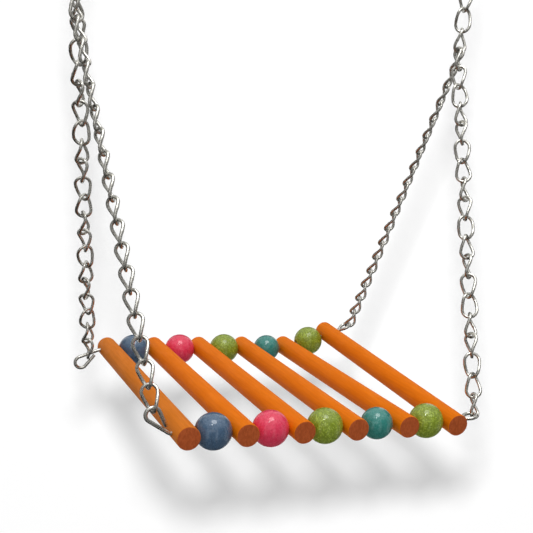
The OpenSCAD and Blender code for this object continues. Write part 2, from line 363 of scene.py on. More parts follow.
@dataclass(frozen=True)
class SwingPlan:
    """Sizes of the swing in millimetres, the same as in its frame."""

    dowel_count: int = 6
    dowel_diameter: float = 10.0
    dowel_length: float = 146.0
    dowel_spacing: float = 25.4
    wire_inset: float = 7.4
    rear_right_lift: float = 8.0
    bead_diameter: float = 15.8
    small_bead_diameter: float = 14.4
    bead_end_play: float = 0.3
    bead_bore_clearance: float = 0.08
    bead_flat_deg: float = 15.0
    wire_diameter: float = 1.7
    dowel_hole_clearance: float = 0.06
    eye_root_gap: float = 0.9
    left_eye_length: float = 11.0
    right_eye_length: float = 5.2
    eye_tip_radius: float = 3.0
    eye_mouth_gap: float = 0.2
    front_left_eye_slope: float = 48.0
    rear_left_eye_slope: float = -36.0
    front_right_eye_slope: float = 14.0
    rear_right_eye_slope: float = 32.0
    rear_left_hang_share: float = 0.55
    link_wire_diameter: float = 1.45
    link_inner_length: float = 9.8
    link_width: float = 8.3
    link_gap: float = 0.08
    upper_link_count: int = 4
    lower_chain_height: float = 167.0
    hanging_width: float = 188.0
    platform_shift: float = 8.0
    hanging_side_step: float = 1.6
    foot_play: float = 0.12
    fork_play: float = 0.5
    link_twist: float = 60.0
    front_left_first_turn: float = 10.0
    rear_left_first_turn: float = -20.0
    front_right_first_turn: float = 20.0
    rear_right_first_turn: float = 6.0
    wound_link_turn: float = 48.0
    plain_link_turn: float = 3.0

    @property
    def wire_radius(self) -> float:
        """Radius of the two bent wires."""
        return self.wire_diameter / 2

    @property
    def link_radius(self) -> float:
        """Radius of the chain wire."""
        return self.link_wire_diameter / 2

    @property
    def link_bend(self) -> float:
        """Radius of a link's round ends, to the middle of its wire."""
        return self.link_width / 2 - self.link_radius

    @property
    def link_reach(self) -> float:
        """From a link's middle to the far middle of its wire."""
        return self.link_inner_length / 2 + self.link_radius

    @property
    def link_pitch(self) -> float:
        """Step from link to link in the upper chains."""
        return self.link_inner_length - self.link_gap

    @property
    def wire_row(self) -> float:
        """Distance of each wire from the middle of the dowels."""
        return self.dowel_length / 2 - self.wire_inset

    @property
    def top_link_z(self) -> float:
        """Height of the middle of a top link."""
        return -(self.link_reach - self.link_radius)

    @property
    def fork_z(self) -> float:
        """Height of the wire that both lower chains of a side hang on."""
        return self.top_link_z - self.upper_link_count * self.link_pitch - self.link_reach

    @property
    def platform_z(self) -> float:
        """Height of the dowels' axes."""
        return self.fork_z - self.lower_chain_height

    @property
    def step_turn(self) -> float:
        """Turn that makes a link stand square to the next one's bend."""
        return 90.0 - self.link_twist

    @property
    def upper_half_turns(self) -> int:
        """Half turns that an upper chain is wound by."""
        return math.floor(((self.upper_link_count - 1) * self.step_turn + 90.0) / 180.0)

    @property
    def fork_turn(self) -> float:
        """Turn of the fork link about its chain."""
        return 0.0 if self.upper_half_turns > 0 else self.step_turn / 2

    @property
    def upper_gained_turn(self) -> float:
        """Turn that an upper chain gains on the way up."""
        return self.step_turn - 2 * self.fork_turn - self.upper_half_turns * 180.0

    def lower_turns(self, side: Side, row: Row, count: int) -> tuple[float, float]:
        """Sets out how a lower chain is turned.

        Args:
            side: Its side.
            row: Its row.
            count: Number of its links.

        Returns:
            The turn of its first link, and the turn that it gains on the way up, in degrees.
        """
        if side is Side.LEFT:
            wound = row is Row.REAR
            first = 90.0 + (self.rear_left_first_turn if wound else self.front_left_first_turn)
        else:
            wound = row is Row.FRONT
            first = self.front_right_first_turn if wound else self.rear_right_first_turn
        usual = self.wound_link_turn if wound else self.plain_link_turn
        left_over = self.fork_turn + self.step_turn - first
        half_turns = math.floor(((count - 1) * usual + left_over) / 180.0 + 0.5)
        return first, left_over - 180.0 * half_turns

    def dowel_x(self, number: int) -> float:
        """Returns how far to the right dowel 1 to 6 lies."""
        return self.platform_shift + (number - (self.dowel_count + 1) / 2) * self.dowel_spacing

    def fork_point(self, side: Side, row: Row) -> np.ndarray:
        """Finds the point of the fork link that a lower chain hangs on.

        Args:
            side: The chain's side.
            row: The chain's row.

        Returns:
            The point.
        """
        step, turn = self.hanging_side_step, math.radians(self.fork_turn)
        rise = self.link_bend - math.sqrt(self.link_bend**2 - step**2 / 4)
        middle = vec(side.value * self.hanging_width / 2, 0, self.fork_z + rise)
        return middle + row.value * step / 2 * vec(math.cos(turn), math.sin(turn), 0)

    def rear_bend(self) -> np.ndarray:
        """Returns the point where the rear wire turns up, inside dowel 5."""
        return vec(self.dowel_x(self.dowel_count - 1), self.wire_row, self.platform_z)

    def eye(self, side: Side, row: Row) -> Eye:
        """Sets out the eye at one corner of the platform.

        Args:
            side: The corner's side.
            row: The corner's row.

        Returns:
            The eye.
        """
        out = self.dowel_diameter / 2 + self.eye_root_gap
        y = row.value * self.wire_row
        if side is Side.LEFT:
            root = vec(self.dowel_x(1) - out, y, self.platform_z)
            slope = self.front_left_eye_slope if row is Row.FRONT else self.rear_left_eye_slope
            length, roll = self.left_eye_length, 0.0 if row is Row.FRONT else 180.0
        elif row is Row.FRONT:
            root = vec(self.dowel_x(self.dowel_count) + out, y, self.platform_z)
            slope, length, roll = self.front_right_eye_slope, self.right_eye_length, 90.0
        else:
            rise = vec(self.dowel_x(self.dowel_count), y, self.platform_z + self.rear_right_lift)
            root = rise + out * unit(rise - self.rear_bend())
            slope, length, roll = self.rear_right_eye_slope, self.right_eye_length, 90.0
        return Eye(
            root, side, length, slope, roll, self.eye_tip_radius, self.eye_mouth_gap, self.wire_radius
        )

    def chain_foot(self, side: Side, row: Row) -> np.ndarray:
        """Finds where the lowest link of a chain bears on its eye.

        Args:
            side: The chain's side.
            row: The chain's row.

        Returns:
            The middle of that link's lower bend.
        """
        eye, hook = self.eye(side, row), self.fork_point(side, row)
        slope = math.radians(eye.slope_deg)
        if side is Side.LEFT and row is Row.FRONT:
            out, up = eye.length * math.cos(slope), eye.length * math.sin(slope)
            touch = eye.root + vec(-out, 0, up + eye.tip_radius)
            wire_way, aside = vec(1, 0, 0), vec(1, 0, 0)
        elif side is Side.LEFT:
            touch = eye.on_first_leg(self.rear_left_hang_share * eye.length)
            wire_way, aside = eye.on_first_leg(1.0) - eye.root, vec(1, 0, 0)
        else:
            touch = eye.root + (eye.length + eye.tip_radius) * vec(math.cos(slope), 0, math.sin(slope))
            wire_way, aside = vec(0, 1, 0), vec(0, 1, 0)
        rise = unit(hook - touch)
        square = unit(np.cross(wire_way, np.cross(aside, rise)))
        crossing = self.link_radius + self.wire_radius + self.link_gap + self.foot_play
        return touch - crossing * square * math.copysign(1.0, float(square @ rise))


# Shared shader groups


class Recipe:
    """Adds nodes to a node tree and joins them."""

    def __init__(self, tree: bpy.types.NodeTree) -> None:
        """Starts on an empty tree."""
        self.tree = tree
        tree.nodes.clear()

    @classmethod
    def of_new(cls, data: bpy.types.Material | bpy.types.World) -> "Recipe":
        """Starts the nodes of a new material or world."""
        data.use_nodes = True
        return cls(data.node_tree)

    def node(
        self, kind: str, inputs: dict[str | int, object] | None = None, **settings: object
    ) -> bpy.types.Node:
        """Adds one node.

        Args:
            kind: Blender's name of the node type.
            inputs: Socket name or number to a value, or to a socket that feeds it.
            settings: Attributes of the node.

        Returns:
            The new node.
        """
        made = self.tree.nodes.new(kind)
        for key, value in settings.items():
            setattr(made, key, value)
        for key, value in (inputs or {}).items():
            if isinstance(value, Socket):
                self.tree.links.new(value, made.inputs[key])
            else:
                made.inputs[key].default_value = value
        return made

    def group(
        self, tree: bpy.types.NodeTree, where: Socket, scale: Triple, values: dict[str, float]
    ) -> bpy.types.Node:
        """Places a shared group.

        Args:
            tree: The group.
            where: The place on the piece, in metres.
            scale: Size of the group's pattern, in steps to the metre along each axis.
            values: The group's other inputs.

        Returns:
            The group node.
        """
        inputs = {"Vector": self.scaled(where, scale), **values}
        return self.node("ShaderNodeGroup", inputs, node_tree=tree)

    def scaled(self, vector: Socket, factors: Triple) -> Socket:
        """Returns the vector with each axis multiplied."""
        return self.node("ShaderNodeVectorMath", {0: vector, 1: factors}, operation="MULTIPLY").outputs[0]

    def ranged(self, value: Socket, start: object, end: object) -> Socket:
        """Returns the value moved from zero..one to start..end."""
        return self.node("ShaderNodeMapRange", {"Value": value, "To Min": start, "To Max": end}).outputs[0]

    def between(self, value: Socket, low: float, high: float, end: float = 1.0) -> Socket:
        """Returns the value moved from low..high to zero..end, smoothly and kept inside."""
        given = {"Value": value, "From Min": low, "From Max": high, "To Max": end}
        return self.node("ShaderNodeMapRange", given, interpolation_type="SMOOTHSTEP").outputs[0]

    def maths(self, what: str, first: object, second: object = 0.0, clamp: bool = True) -> Socket:
        """Returns the result of one Math node, kept between zero and one unless clamp is off."""
        made = self.node("ShaderNodeMath", {0: first, 1: second}, operation=what, use_clamp=clamp)
        return made.outputs[0]

    def mixed(self, share: object, first: object, second: object) -> Socket:
        """Returns the first colour turning into the second as share goes up."""
        given = {MIX_SHARE: share, MIX_FIRST: first, MIX_SECOND: second}
        return self.node("ShaderNodeMix", given, data_type="RGBA").outputs[MIX_RESULT]


@dataclass(frozen=True)
class SharedEffect:
    """The sockets of a shader node group that several finishes use."""

    name: str
    inputs: tuple[str, ...]
    outputs: tuple[str, ...]
    vectors: tuple[str, ...] = ("Vector", "Normal")

    def start(self) -> tuple[Recipe, bpy.types.Node]:
        """Makes the group with its sockets alone.

        Returns:
            Its recipe and its input node.
        """
        tree = bpy.data.node_groups.new(self.name, "ShaderNodeTree")
        for way, names in (("INPUT", self.inputs), ("OUTPUT", self.outputs)):
            for name in names:
                kind = "NodeSocketVector" if name in self.vectors else "NodeSocketFloat"
                tree.interface.new_socket(name=name, in_out=way, socket_type=kind)
        recipe = Recipe(tree)
        return recipe, recipe.node("NodeGroupInput")


def wood_fibre_group() -> bpy.types.NodeTree:
    """Builds the fibre pattern of wood: long soft streaks with short dark pores in them.

    Returns:
        The group.
    """
    recipe, given = SharedEffect("wood_fibre", ("Vector", "Pore Share"), ("Streaks", "Pores")).start()
    place = given.outputs["Vector"]
    noise = {"Vector": place, "Scale": 1.0, "Detail": 5.0, "Roughness": 0.62}
    wide = recipe.node("ShaderNodeTexNoise", noise)
    closer = recipe.scaled(place, (3.1, 3.1, 3.1))
    fine = recipe.node("ShaderNodeTexNoise", {"Vector": closer, "Scale": 1.0, "Detail": 2.0})
    streaks = recipe.between(wide.outputs[0], 0.32, 0.68)
    pores = recipe.maths("LESS_THAN", fine.outputs[0], given.outputs["Pore Share"])
    recipe.node("NodeGroupOutput", {"Streaks": streaks, "Pores": pores})
    return recipe.tree


def uneven_shine_group() -> bpy.types.NodeTree:
    """Builds a soft patchy mask that makes a shine uneven.

    Returns:
        The group.
    """
    effect = SharedEffect("uneven_shine", ("Vector", "Least", "Most"), ("Roughness", "Patches"))
    recipe, given = effect.start()
    noise = {"Vector": given.outputs["Vector"], "Scale": 1.0, "Detail": 4.0, "Roughness": 0.7}
    patches = recipe.between(recipe.node("ShaderNodeTexNoise", noise).outputs[0], 0.3, 0.7)
    roughness = recipe.ranged(patches, given.outputs["Least"], given.outputs["Most"])
    recipe.node("NodeGroupOutput", {"Roughness": roughness, "Patches": patches})
    return recipe.tree


def glitter_group() -> bpy.types.NodeTree:
    """Builds fine glitter in a lacquer: tilted flakes, and a mask of the flakes that get a lighter colour
    as a painted glint.

    Returns:
        The group.
    """
    recipe, given = SharedEffect("lacquer_glitter", ("Vector", "Tilt"), ("Normal", "Flakes")).start()
    cells = recipe.node("ShaderNodeTexVoronoi", {"Vector": given.outputs["Vector"], "Scale": 1.0})
    colour = cells.outputs["Color"]
    off = recipe.node("ShaderNodeVectorMath", {0: colour, 1: (0.5, 0.5, 0.5)}, operation="SUBTRACT")
    tilt = {0: off.outputs[0], "Scale": given.outputs["Tilt"]}
    tilted = recipe.node("ShaderNodeVectorMath", tilt, operation="SCALE")
    surface = recipe.node("ShaderNodeNewGeometry").outputs["Normal"]
    leaning = recipe.node("ShaderNodeVectorMath", {0: surface, 1: tilted.outputs[0]}, operation="ADD")
    normal = recipe.node("ShaderNodeVectorMath", {0: leaning.outputs[0]}, operation="NORMALIZE").outputs[0]
    split = recipe.node("ShaderNodeSeparateColor", {0: colour})
    # Mask of the flakes whose base colour is painted lighter, as a painted glint of the glitter
    flakes = recipe.maths("GREATER_THAN", split.outputs[1], 0.72)
    recipe.node("NodeGroupOutput", {"Normal": normal, "Flakes": flakes})
    return recipe.tree


@dataclass(frozen=True)
class Effects:
    """The shared shader groups, built once."""

    fibre: bpy.types.NodeTree
    shine: bpy.types.NodeTree
    glitter: bpy.types.NodeTree

    @classmethod
    def build(cls) -> "Effects":
        """Builds all the groups."""
        return cls(wood_fibre_group(), uneven_shine_group(), glitter_group())


def rgba(colour: Triple) -> tuple[float, float, float, float]:
    """Returns the colour with full opacity."""
    return (*colour, 1.0)


# Finishes


@dataclass(frozen=True)
class Finish:
    """What all finishes share: a material with one shader."""

    name: str

    def looks(self, recipe: Recipe, effects: Effects) -> dict[str, object]:
        """Returns the shader's inputs, which each finish sets for itself."""
        raise NotImplementedError

    def build(self, effects: Effects) -> bpy.types.Material:
        """Builds the material.

        Args:
            effects: The shared shader groups.

        Returns:
            The finished material.
        """
        material = bpy.data.materials.new(self.name)
        recipe = Recipe.of_new(material)
        shader = recipe.node("ShaderNodeBsdfPrincipled", self.looks(recipe, effects))
        recipe.node("ShaderNodeOutputMaterial", {0: shader.outputs[0]})
        return material


@dataclass(frozen=True)
class DyedDowelFinish(Finish):
    """Orange water dye on hardwood: matt sides, and darker, redder sawn ends."""

    side: Triple = (0.79, 0.187, 0.0022)
    streak: Triple = (0.64, 0.134, 0.0014)
    end: Triple = (0.48, 0.106, 0.03)
    end_streak: Triple = (0.36, 0.074, 0.02)
    fibre_scale: Triple = (1300.0, 45.0, 1300.0)
    sawn_scale: Triple = (1500.0, 1500.0, 700.0)
    dye_scale: Triple = (160.0, 60.0, 160.0)
    fibre_pores: float = 0.36
    sawn_pores: float = 0.4
    least_rough: float = 0.55
    most_rough: float = 0.72
    streak_share: float = 0.55
    patch_share: float = 0.3
    pit_share: float = 0.6
    end_from: float = 0.55
    end_to: float = 0.95
    fibre_relief: float = 0.22
    fibre_depth: float = 0.00008
    gloss: float = 0.05

    def looks(self, recipe: Recipe, effects: Effects) -> dict[str, object]:
        """Adds the nodes of the finish.

        Args:
            recipe: The material's recipe.
            effects: The shared shader groups.

        Returns:
            The shader's inputs.
        """
        place = recipe.node("ShaderNodeTexCoord")
        where = place.outputs["Object"]
        fibre = recipe.group(effects.fibre, where, self.fibre_scale, {"Pore Share": self.fibre_pores})
        sawn = recipe.group(effects.fibre, where, self.sawn_scale, {"Pore Share": self.sawn_pores})
        span = {"Least": self.least_rough, "Most": self.most_rough}
        dye = recipe.group(effects.shine, where, self.dye_scale, span)
        along = recipe.node("ShaderNodeSeparateXYZ", {0: place.outputs["Normal"]}).outputs[1]
        on_end = recipe.between(recipe.maths("ABSOLUTE", along, clamp=False), self.end_from, self.end_to)
        streaks = recipe.maths("MULTIPLY", fibre.outputs["Streaks"], self.streak_share)
        patches = recipe.maths("MULTIPLY", dye.outputs["Patches"], self.patch_share)
        sides = recipe.mixed(streaks, rgba(self.side), rgba(self.streak))
        sides = recipe.mixed(patches, sides, rgba(self.streak))
        ends = recipe.mixed(sawn.outputs["Streaks"], rgba(self.end), rgba(self.end_streak))
        pits = recipe.maths("MULTIPLY", fibre.outputs["Pores"], self.pit_share)
        height = recipe.maths("SUBTRACT", fibre.outputs["Streaks"], pits)
        relief = {"Height": height, "Strength": self.fibre_relief, "Distance": self.fibre_depth}
        return {
            "Base Color": recipe.mixed(on_end, sides, ends),
            "Roughness": dye.outputs["Roughness"],
            "Normal": recipe.node("ShaderNodeBump", relief).outputs[0],
            "Specular IOR Level": self.gloss,
        }


@dataclass(frozen=True)
class BeadLacquerFinish(Finish):
    """Coloured lacquer over a turned wooden bead, with the grain showing through and a painted glint on
    its glitter flakes.
    """

    colour: Triple
    grain: Triple
    # Lighter colour painted onto the glitter flakes, as a painted glint
    light: Triple
    glitter: float
    coat: float
    grain_scale: Triple = (760.0, 760.0, 120.0)
    shine_scale: Triple = (420.0, 420.0, 260.0)
    flake_scale: Triple = (2000.0, 2000.0, 2000.0)
    grain_pores: float = 0.38
    least_rough: float = 0.22
    most_rough: float = 0.4
    streak_share: float = 0.5
    pore_share: float = 0.6
    pit_share: float = 0.8
    # Share of the painted glint on the flakes: the least, and how much more it gets per unit of glitter
    least_flake_glint: float = 0.12
    flake_glint_by_glitter: float = 1.3
    grain_relief: float = 0.5
    grain_depth: float = 0.0002
    gloss: float = 0.3
    coat_rough: float = 0.06

    def looks(self, recipe: Recipe, effects: Effects) -> dict[str, object]:
        """Adds the nodes of the finish.

        Args:
            recipe: The material's recipe.
            effects: The shared shader groups.

        Returns:
            The shader's inputs.
        """
        where = recipe.node("ShaderNodeTexCoord").outputs["Object"]
        span = {"Least": self.least_rough, "Most": self.most_rough}
        fibre = recipe.group(effects.fibre, where, self.grain_scale, {"Pore Share": self.grain_pores})
        shine = recipe.group(effects.shine, where, self.shine_scale, span)
        flakes = recipe.group(effects.glitter, where, self.flake_scale, {"Tilt": self.glitter})
        streaks, pores = fibre.outputs["Streaks"], fibre.outputs["Pores"]
        grained = recipe.maths("MULTIPLY", streaks, self.streak_share)
        colour = recipe.mixed(grained, rgba(self.colour), rgba(self.grain))
        colour = recipe.mixed(recipe.maths("MULTIPLY", pores, self.pore_share), colour, rgba(self.grain))
        # Painted glint: the glitter flakes get the lighter colour in the base colour, more with more
        # glitter
        flake_glint_share = min(1.0, self.least_flake_glint + self.flake_glint_by_glitter * self.glitter)
        flake_glints = recipe.maths("MULTIPLY", flakes.outputs["Flakes"], flake_glint_share)
        height = recipe.maths("SUBTRACT", streaks, recipe.maths("MULTIPLY", pores, self.pit_share))
        relief = {
            "Height": height,
            "Strength": self.grain_relief,
            "Distance": self.grain_depth,
            "Normal": flakes.outputs["Normal"],
        }
        return {
            "Base Color": recipe.mixed(flake_glints, colour, rgba(self.light)),
            "Roughness": shine.outputs["Roughness"],
            "Normal": recipe.node("ShaderNodeBump", relief).outputs[0],
            "Specular IOR Level": self.gloss,
            "Coat Weight": self.coat,
            "Coat Roughness": self.coat_rough,
        }


@dataclass(frozen=True)
class NickelFinish(Finish):
    """Bright nickel plate on drawn steel wire, a little uneven and dulled in patches."""

    bright: Triple
    dull: Triple
    least_rough: float
    most_rough: float
    patch_scale: Triple = (700.0, 700.0, 700.0)
    drawn_scale: Triple = (2600.0, 2600.0, 2600.0)
    dull_share: float = 0.55
    drawn_relief: float = 0.12
    drawn_depth: float = 0.00004

    def looks(self, recipe: Recipe, effects: Effects) -> dict[str, object]:
        """Adds the nodes of the finish.

        Args:
            recipe: The material's recipe.
            effects: The shared shader groups.

        Returns:
            The shader's inputs.
        """
        where = recipe.node("ShaderNodeTexCoord").outputs["Object"]
        span = {"Least": self.least_rough, "Most": self.most_rough}
        shine = recipe.group(effects.shine, where, self.patch_scale, span)
        drawn = recipe.group(effects.shine, where, self.drawn_scale, {"Least": 0.0, "Most": 1.0})
        dulled = recipe.maths("MULTIPLY", shine.outputs["Patches"], self.dull_share)
        marks = drawn.outputs["Patches"]
        relief = {"Height": marks, "Strength": self.drawn_relief, "Distance": self.drawn_depth}
        return {
            "Base Color": recipe.mixed(dulled, rgba(self.bright), rgba(self.dull)),
            "Metallic": 1.0,
            "Roughness": shine.outputs["Roughness"],
            "Normal": recipe.node("ShaderNodeBump", relief).outputs[0],
        }


# Colour, grain, lighter colour of the flakes as a painted glint, glitter and coat of each lacquer
LACQUERS = {
    Slot.BLUE: ((0.066, 0.128, 0.215), (0.042, 0.082, 0.142), (0.16, 0.25, 0.36), 0.05, 0.7),
    Slot.PINK: ((0.8, 0.042, 0.105), (0.64, 0.026, 0.07), (0.95, 0.12, 0.22), 0.09, 0.5),
    Slot.GREEN: ((0.222, 0.298, 0.02), (0.162, 0.22, 0.014), (0.48, 0.62, 0.08), 0.3, 0.4),
    Slot.TEAL: ((0.03, 0.235, 0.2), (0.018, 0.165, 0.142), (0.12, 0.4, 0.37), 0.06, 0.7),
}
# Colour and streaks of the left dowel, whose dye has faded
FADED_SIDE = (0.68, 0.19, 0.016)
FADED_STREAK = (0.5, 0.135, 0.009)
# Bright colour, dull colour, least and most roughness of each nickel plate
NICKELS = {
    Slot.CHAIN: ((0.64, 0.63, 0.585), (0.33, 0.32, 0.285), 0.2, 0.36),
    Slot.WIRE: ((0.62, 0.61, 0.565), (0.33, 0.32, 0.285), 0.2, 0.38),
}


@dataclass(frozen=True)
class Finishes:
    """Every finish of the swing, by material slot."""

    made: dict[Slot, bpy.types.Material]
    faded_dowel: bpy.types.Material

    @classmethod
    def build(cls) -> "Finishes":
        """Builds every material once.

        Returns:
            The finishes.
        """
        effects = Effects.build()
        made = {
            slot: BeadLacquerFinish(f"lacquer_{slot.name.lower()}", *values).build(effects)
            for slot, values in LACQUERS.items()
        }
        made[Slot.DOWEL] = DyedDowelFinish("dyed_dowel").build(effects)
        for slot, values in NICKELS.items():
            made[slot] = NickelFinish(f"nickel_{slot.name.lower()}", *values).build(effects)
        faded = DyedDowelFinish("dyed_dowel_faded", FADED_SIDE, FADED_STREAK)
        return cls(made, faded.build(effects))

    def dress(self, piece: bpy.types.Object, slot: Slot, body: str, *nodes: str) -> None:
        """Gives a new piece its finish and its place in the frame.

        Args:
            piece: The piece, in place.
            slot: Its material slot.
            body: The body that it rides on.
            nodes: The CAD nodes that it stands for.
        """
        piece.data.materials.clear()
        piece.data.materials.append(self.made[slot])
        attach(piece, body)
        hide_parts(*nodes)
        LOG.info("%s: %d points, rides on %s", piece.name, len(piece.data.vertices), body)


# Sub-assemblies


@dataclass
class TwistedChains:
    """The eight runs of twisted links: two top links, two upper chains and four lower ones."""

    plan: SwingPlan
    finishes: Finishes
    sides: int = 14
    bend_steps: int = 20
    leg_steps: int = 10
    weld_swell: float = 0.09
    weld_length: float = 0.55

    def link(self) -> Mesh:
        """Builds one link round its own middle, its upper round end turned on from its lower one.

        Returns:
            The points and the faces. One straight side carries the small swell of its weld.
        """
        bend, leg = self.plan.link_bend, self.plan.link_reach - self.plan.link_bend
        line: list[tuple[np.ndarray, np.ndarray, float]] = []
        for end in (1, -1):
            start = 0.0 if end > 0 else math.pi
            for i in range(self.bend_steps):
                angle = start + math.pi * i / self.bend_steps
                way = vec(math.cos(angle), math.sin(angle))
                line.append((vec(0, end * leg) + bend * way, way, math.inf))
            for i in range(self.leg_steps):
                z = end * leg * (1 - 2 * i / self.leg_steps)
                line.append((vec(-end * bend, z), vec(-end, 0), z if end > 0 else math.inf))
        middle = np.array([self._twisted(point, point[1]) for point, _, _ in line])
        out = np.array([self._twisted(way, point[1]) for point, way, _ in line])
        tangents = np.roll(middle, -1, axis=0) - np.roll(middle, 1, axis=0)
        tangents /= np.linalg.norm(tangents, axis=1)[:, None]
        normals = out - tangents * np.sum(out * tangents, axis=1)[:, None]
        normals /= np.linalg.norm(normals, axis=1)[:, None]
        others = np.cross(tangents, normals)
        angles = np.linspace(0, 2 * math.pi, self.sides, endpoint=False)
        swell = [1 + self.weld_swell * math.exp(-((far / self.weld_length) ** 2)) for _, _, far in line]
        rings = [
            m + self.plan.link_radius * r * (np.outer(np.cos(angles), n) + np.outer(np.sin(angles), o))
            for m, r, n, o in zip(middle, swell, normals, others)
        ]
        return np.concatenate(rings), tube_faces(len(rings), self.sides, closed=True)

    def _twisted(self, point: np.ndarray, height: float) -> np.ndarray:
        """Turns a point of the flat link, or a way in it, by the twist at its height.

        Args:
            point: The point or way, across the link and up it.
            height: Height of the point over the link's middle.

        Returns:
            The turned point or way.
        """
        share = 1 + math.sin(math.pi / 2 * height / self.plan.link_reach)
        turn = math.radians(self.plan.link_twist) / 2 * share
        return vec(point[0] * math.cos(turn), point[0] * math.sin(turn), point[1])

    def row(
        self, name: str, first: np.ndarray, last: np.ndarray, count: int, first_turn: float, gained: float
    ) -> bpy.types.Object:
        """Builds a straight row of links.

        Args:
            name: Name of the piece.
            first: Middle of the first link.
            last: Middle of the last link.
            count: Number of links.
            first_turn: Turn of the first link about the row, in degrees.
            gained: Turn that the last link has gained, in degrees.

        Returns:
            The piece.
        """
        points, faces = self.link()
        way = unit(last - first) if count > 1 else vec(0, 0, 1)
        sideways = Matrix.Rotation(math.atan2(way[0], way[2]), 3, "Y")
        lean = sideways @ Matrix.Rotation(-math.asin(way[1]), 3, "X")
        shell = Shell()
        for i in range(count):
            share = i / max(count - 1, 1)
            turn = Matrix.Rotation(math.radians(first_turn + gained * share), 3, "Z")
            shell.add(points @ np.array(lean @ turn).T + first + (last - first) * share, faces)
        return shell.piece(name)

    def lower(self, side: Side, row: Row) -> bpy.types.Object:
        """Builds one lower chain, from the eye up to the fork link.

        Args:
            side: The chain's side.
            row: The chain's row.

        Returns:
            The piece.
        """
        plan = self.plan
        foot, hook = plan.chain_foot(side, row), plan.fork_point(side, row)
        way, crossing = unit(hook - foot), plan.link_wire_diameter + plan.link_gap
        span = float(np.linalg.norm(hook - foot)) + crossing + plan.fork_play - 2 * plan.link_reach
        count = 1 + math.ceil(span / plan.link_pitch)
        first = foot + way * plan.link_reach
        last = hook + way * (crossing + plan.fork_play - plan.link_reach)
        name = f"links_{row.name.lower()}_{side.name.lower()}"
        return self.row(name, first, last, count, *plan.lower_turns(side, row, count))

    def build(self) -> None:
        """Builds and dresses all the chains."""
        plan = self.plan
        for side in Side:
            x, word = side.value * plan.hanging_width / 2, side.name.lower()
            top = vec(x, 0, plan.top_link_z)
            piece = self.row(f"hanging_link_{word}", top, top, 1, 0.0, 0.0)
            self.finishes.dress(piece, Slot.CHAIN, "hangers", f"top_link_{word}")
            first = top - vec(0, 0, plan.link_pitch)
            last = top - vec(0, 0, plan.link_pitch * plan.upper_link_count)
            turns = (plan.fork_turn, plan.upper_gained_turn)
            piece = self.row(f"upper_links_{word}", last, first, plan.upper_link_count, *turns)
            self.finishes.dress(piece, Slot.CHAIN, f"upper_{word}", f"upper_chain_{word}")
            for row in Row:
                node = f"chain_{row.name.lower()}_{word}"
                self.finishes.dress(self.lower(side, row), Slot.CHAIN, "cradle", node)


@dataclass
class BentWires:
    """The front and the rear wire, each with an eye at both ends."""

    plan: SwingPlan
    finishes: Finishes
    sides: int = 20

    def path(self, row: Row) -> list[np.ndarray]:
        """Sets out the middle line of a wire, from one free end to the other.

        Args:
            row: The wire's row.

        Returns:
            The points of the line.
        """
        plan = self.plan
        left, right = plan.eye(Side.LEFT, row), plan.eye(Side.RIGHT, row)
        bends = [plan.rear_bend()] if row is Row.REAR else []
        corners = [left.shoulder(), left.root, *bends, right.root, right.shoulder()]
        inner = round_corners(corners, plan.eye_tip_radius)
        return list(reversed(left.loop())) + inner[1:-1] + right.loop()

    def build(self) -> None:
        """Builds and dresses both wires."""
        for row in Row:
            shell = Shell()
            shell.add(*swept_wire(self.path(row), self.plan.wire_radius, self.sides))
            word = row.name.lower()
            self.finishes.dress(shell.piece(f"bent_wire_{word}"), Slot.WIRE, "cradle", f"wire_{word}")


@dataclass
class PerchDowels:
    """The six dyed dowels, with softened sawn ends and a bore for each wire."""

    plan: SwingPlan
    finishes: Finishes
    sides: int = 96
    rim: float = 0.45
    rim_steps: int = 6
    flat_from: float = 0.4
    bore_sides: int = 28
    bore_overrun: float = 8.0
    sharp_deg: float = 38.0

    def blank(self) -> Mesh:
        """Builds a rod along Y with its middle at the origin, with rounded rims.

        Returns:
            The points and the faces.
        """
        half, radius = self.plan.dowel_length / 2, self.plan.dowel_diameter / 2
        inner = radius * self.flat_from
        corners = [vec(-half, inner), vec(-half, radius), vec(half, radius), vec(half, inner)]
        profile = round_corners(corners, self.rim, self.rim_steps)
        points, faces = turned(profile, self.sides, closed=False)
        return points @ np.array(Matrix.Rotation(math.pi / 2, 3, "Z")).T, faces

    def bore(self, name: str, start: np.ndarray, stop: np.ndarray) -> bpy.types.Object:
        """Makes a cutter along a wire's straight run.

        Args:
            name: Name of the cutter.
            start: Where the wire goes in.
            stop: Where it comes out.

        Returns:
            The cutter, which is longer than the way from start to stop.
        """
        radius = self.plan.wire_radius + self.plan.dowel_hole_clearance
        more = unit(stop - start) * self.bore_overrun
        shell = Shell()
        shell.add(*swept_wire([start - more, stop + more], radius, self.bore_sides))
        return shell.piece(name)

    def build(self) -> None:
        """Builds and dresses all the dowels."""
        plan = self.plan
        points, faces = self.blank()
        for number in range(1, plan.dowel_count + 1):
            last = number == plan.dowel_count
            lean = math.asin(plan.rear_right_lift / (2 * plan.wire_row)) if last else 0.0
            pivot = vec(plan.dowel_x(number), -plan.wire_row, plan.platform_z)
            turn = np.array(Matrix.Rotation(lean, 3, "X"))
            shell = Shell()
            shell.add((points + vec(0, plan.wire_row, 0)) @ turn.T + pivot, faces)
            piece = shell.piece(f"perch_dowel_{number}")
            cutters = []
            for row in Row:
                here = vec(plan.dowel_x(number), row.value * plan.wire_row, plan.platform_z)
                way = vec(plan.dowel_diameter / 2, 0, 0)
                if row is Row.REAR and last:
                    here = here + vec(0, 0, plan.rear_right_lift)
                    way = unit(here - plan.rear_bend()) * plan.dowel_diameter / 2
                cutters.append(self.bore(f"bore_{row.name.lower()}", here - way, here + way))
            cut_with(piece, cutters, self.sharp_deg)
            self.finishes.dress(piece, Slot.DOWEL, "cradle", f"dowel_{number}")
            if number == 1:
                piece.data.materials[0] = self.finishes.faded_dowel


